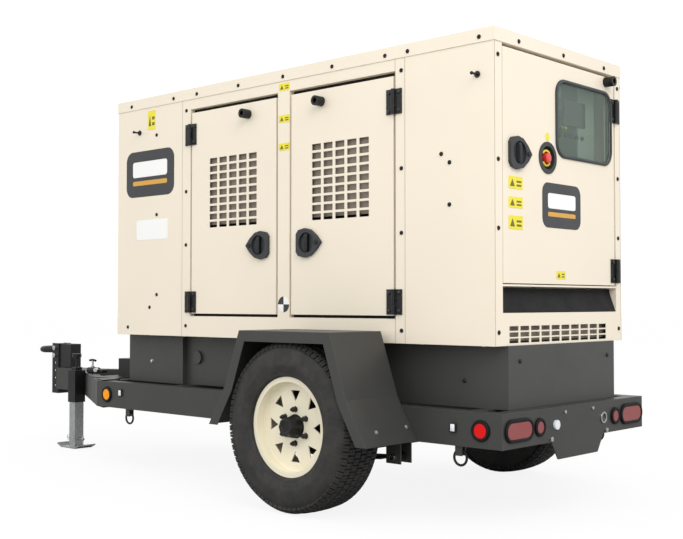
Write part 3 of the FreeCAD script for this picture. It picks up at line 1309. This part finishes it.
def make_lamps():
    """Tail lamps in the bumper, side lamps on the rails, and their grommets."""
    bumper = f"({REAR} + bumper_front + bumper_depth)"
    red, amber, rubber = [], [], []
    tail = [("-438", "178", "74"), ("442", "178", "74"), ("-293", "58", "58"), ("301", "58", "58")]
    for i, (y, across, up) in enumerate(tail):
        lens, ring = lamp(f"tail{i}", (bumper, y, "lamp_height"), 90, across, up)
        red.append(lens)
        rubber.append(ring)
    size = "(2 * side_lamp_radius)"
    for side in (-1, 1):
        turn = 180 if side > 0 else 0
        rail = signed(side, "rail_half_width")
        for colour, setback, store in (("red", "28", red), ("amber", "2440", amber)):
            lens, ring = lamp(f"{colour}_side{side}", (f"{REAR} - {setback}", rail, "lamp_height"), turn, size, size)
            store.append(lens)
            rubber.append(ring)
    node("red_lamps", group("red_lenses", red))
    node("amber_lamps", group("amber_lenses", amber))
    node("lamp_grommets", group("grommets", rubber))


def make_fasteners():
    """Bright bolts: coupler, spring eyes, axle clamps and bumper."""
    pieces = []
    outer = "(channel_inner + channel_wall)"
    for i in range(2):
        level = coupler_hole_level(i)
        shank = rod(f"coupler_bolt{i}", "+Y", (f"{COUPLER} + 30", f"-{outer} - 12", level), "channel_hole - 0.2",
                    f"2 * {outer} + 28")
        heads = [rod(f"coupler_head{i}{side}", "+Y" if side > 0 else "-Y",
                     (f"{COUPLER} + 30", signed(side, outer), level), "15", "11") for side in (-1, 1)]
        pieces.append(fuse(f"coupler_bolt_set{i}", shank, *heads))
    for side in (-1, 1):
        for i, along in enumerate(("-spring_half", "spring_half")):
            centre = (f"{AXLE} + ({along})", SPRING_EYE)
            low, high = between(side, HANGER_INNER, HANGER_OUTER)
            heads = [rod(f"spring_head{side}_{i}{j}", axis, (centre[0], y, centre[1]), "13", "9")
                     for j, (axis, y) in enumerate((("-Y", low), ("+Y", high)))]
            shank = rod(f"spring_bolt{side}_{i}", "+Y", (centre[0], low, centre[1]), "spring_bolt",
                        f"{high} - ({low})")
            pieces.append(fuse(f"spring_bolt_set{side}_{i}", shank, *heads))
        low = "(tyre_radius - axle_drop - axle_box / 2)"
        pad_z = f"({low} - leaves * leaf)"
        y = between(side, "spring_track - leaf_width / 2 - 14", "spring_track + leaf_width / 2 + 14")
        pad = box(f"axle_pad{side}", (f"{AXLE} - 55", f"{AXLE} + 55"), y, (f"{pad_z} - 10", pad_z))
        bolts = [rod(f"axle_bolt{side}_{i}{j}", "+Z", (f"{AXLE} + {dx}", edge, f"{pad_z} - 20"), "6",
                     "axle_box + leaves * leaf + 30")
                 for i, dx in enumerate((-40, 40)) for j, edge in enumerate((f"{y[0]} + 7", f"{y[1]} - 7"))]
        pieces.append(fuse(f"axle_clamp{side}", pad, *bolts))
    bumper = f"({REAR} + bumper_front + bumper_depth)"
    spots = [("-105", "422", "7", "6"), ("113", "422", "7", "6"), ("-212", "322", "9", "9"), ("224", "322", "9", "9"),
             ("-174", "lamp_height", "19", "10")]
    for i, (y, z, radius, length) in enumerate(spots):
        pieces.append(rod(f"bumper_bolt{i}", "+X", (bumper, y, z), radius, length))
    socket = rod("bumper_ring", "+X", (bumper, "204", "lamp_height"), "24", "5")
    throat = rod("bumper_throat", "+X", (bumper, "204", "lamp_height"), "17", "6")
    pieces.append(cut("bumper_socket", socket, throat))
    node("bright_fasteners", group("fasteners", pieces))


def make_rings():
    """The four tie-down rings that hang under the rails."""
    level = "(rail_bottom - ring_drop + ring_rod + 0.3 - ring_radius + ring_section)"
    for side, label in ((-1, "left"), (1, "right")):
        for end in ("front", "rear"):
            centre = (f"{REAR} - ring_{end}", signed(side, RING_TRACK), level)
            node(f"{label}_{end}_ring", hoop(f"{label}_{end}_hoop", centre, "+Y", "ring_radius", "ring_section"))


make_base()
make_chassis()
make_drawbar()
make_bumper()
make_fenders()
make_coupler()
make_jack()
make_tongue_box()
make_axle()
for wheel_side in (-1, 1):
    make_wheel(wheel_side)
make_lamps()
make_fasteners()
make_rings()


# ---------------------------------------------------------------- check and write

doc.recompute()
faults = [f"{item.Label}: {item.State}" for item in doc.Objects
          if "Invalid" in item.State or "Error" in item.State]
for name, item in nodes.items():
    if item.Shape.isNull() or not item.Shape.isValid() or not item.Shape.Solids:
        faults.append(f"{name}: its shape is empty or not valid")
if faults:
    raise RuntimeError("\n".join(faults))

os.makedirs("parts", exist_ok=True)
for name, item in nodes.items():
    item.Shape.exportStep(f"parts/{name}.step")
    print(f"{name:24s} {len(item.Shape.Solids):3d} solids  {item.Shape.Volume / 1000:12.1f} cm3")
print(f"{len(nodes)} nodes written")
